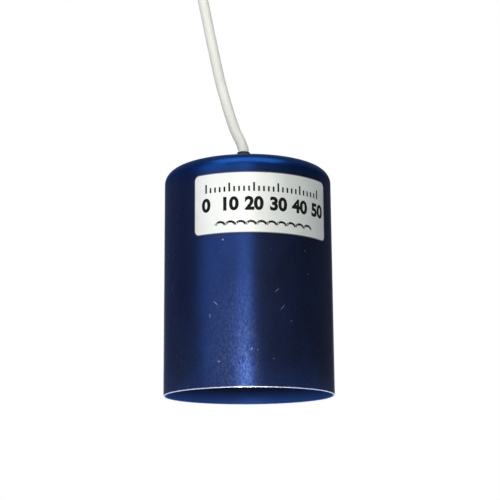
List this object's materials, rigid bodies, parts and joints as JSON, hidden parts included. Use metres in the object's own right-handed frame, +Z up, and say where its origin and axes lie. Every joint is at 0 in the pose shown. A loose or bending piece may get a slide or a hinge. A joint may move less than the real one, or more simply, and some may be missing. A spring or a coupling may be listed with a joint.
{
  "type": "submersible well probe",
  "caption": "Submersible well probe: a thin-walled metal bell, open at the bottom, hung on a signal cable that leaves through a gland in its crown.",
  "frame": {"origin": "centre of the bell's rim, on the surface that the rim stands on", "axes": "+Z up along the bell's axis from its open mouth to its crown, -Y towards the viewer and the label"},
  "size_m": [0.2217, 0.0737, 0.2174],
  "materials": {
    "bell": "dark blue anodised, satin, with fine length-wise speckle",
    "label": "matt silver foil label, print replaced by a plain scale",
    "rubber": "matt black",
    "gland_metal": "nickel plated, satin",
    "ballast": "galvanised",
    "housing": "black glass filled plastic",
    "stainless": "turned stainless steel",
    "cable_jacket": "ivory cable jacket",
    "core_brown": "brown wire insulation",
    "core_white": "white wire insulation",
    "core_green": "green wire insulation",
    "terminal": "green terminal block",
    "chip": "moulded black resin",
    "board": "green solder resist",
    "filter_bronze": "sintered bronze",
    "tie": "black nylon",
    "ferrule": "tinned copper"
  },
  "bodies": {
    "root": {"bell_housing": "bell", "label_plate": "label", "crown_washer": "rubber", "gland_nut": "gland_metal", "cable_seal": "rubber", "gland_body": "gland_metal", "inner_gasket": "rubber", "ballast_ring": "ballast", "sensor_housing": "housing", "lock_nut": "gland_metal", "cable_clamp": "stainless", "cable_inner": "cable_jacket", "core_wire_1": "core_brown", "core_wire_2": "core_white", "core_wire_3": "core_green", "terminal_block": "terminal", "amplifier_chip": "chip", "circuit_board": "board", "pressure_sensor": "stainless", "board_spacer": "housing", "sensor_cover": "housing", "cover_o_ring": "rubber", "port_filter": "filter_bronze", "cover_screw_1": "stainless", "cover_screw_2": "stainless", "cover_screw_3": "stainless", "cable_run": "cable_jacket", "cable_coil": "cable_jacket", "coil_tie_1": "tie", "coil_tie_2": "tie", "cable_tail": "cable_jacket", "tail_core_1": "core_brown", "tail_core_2": "core_white", "tail_core_3": "core_green", "ferrule_1": "ferrule", "ferrule_2": "ferrule", "ferrule_3": "ferrule"}
  },
  "joints": []
}
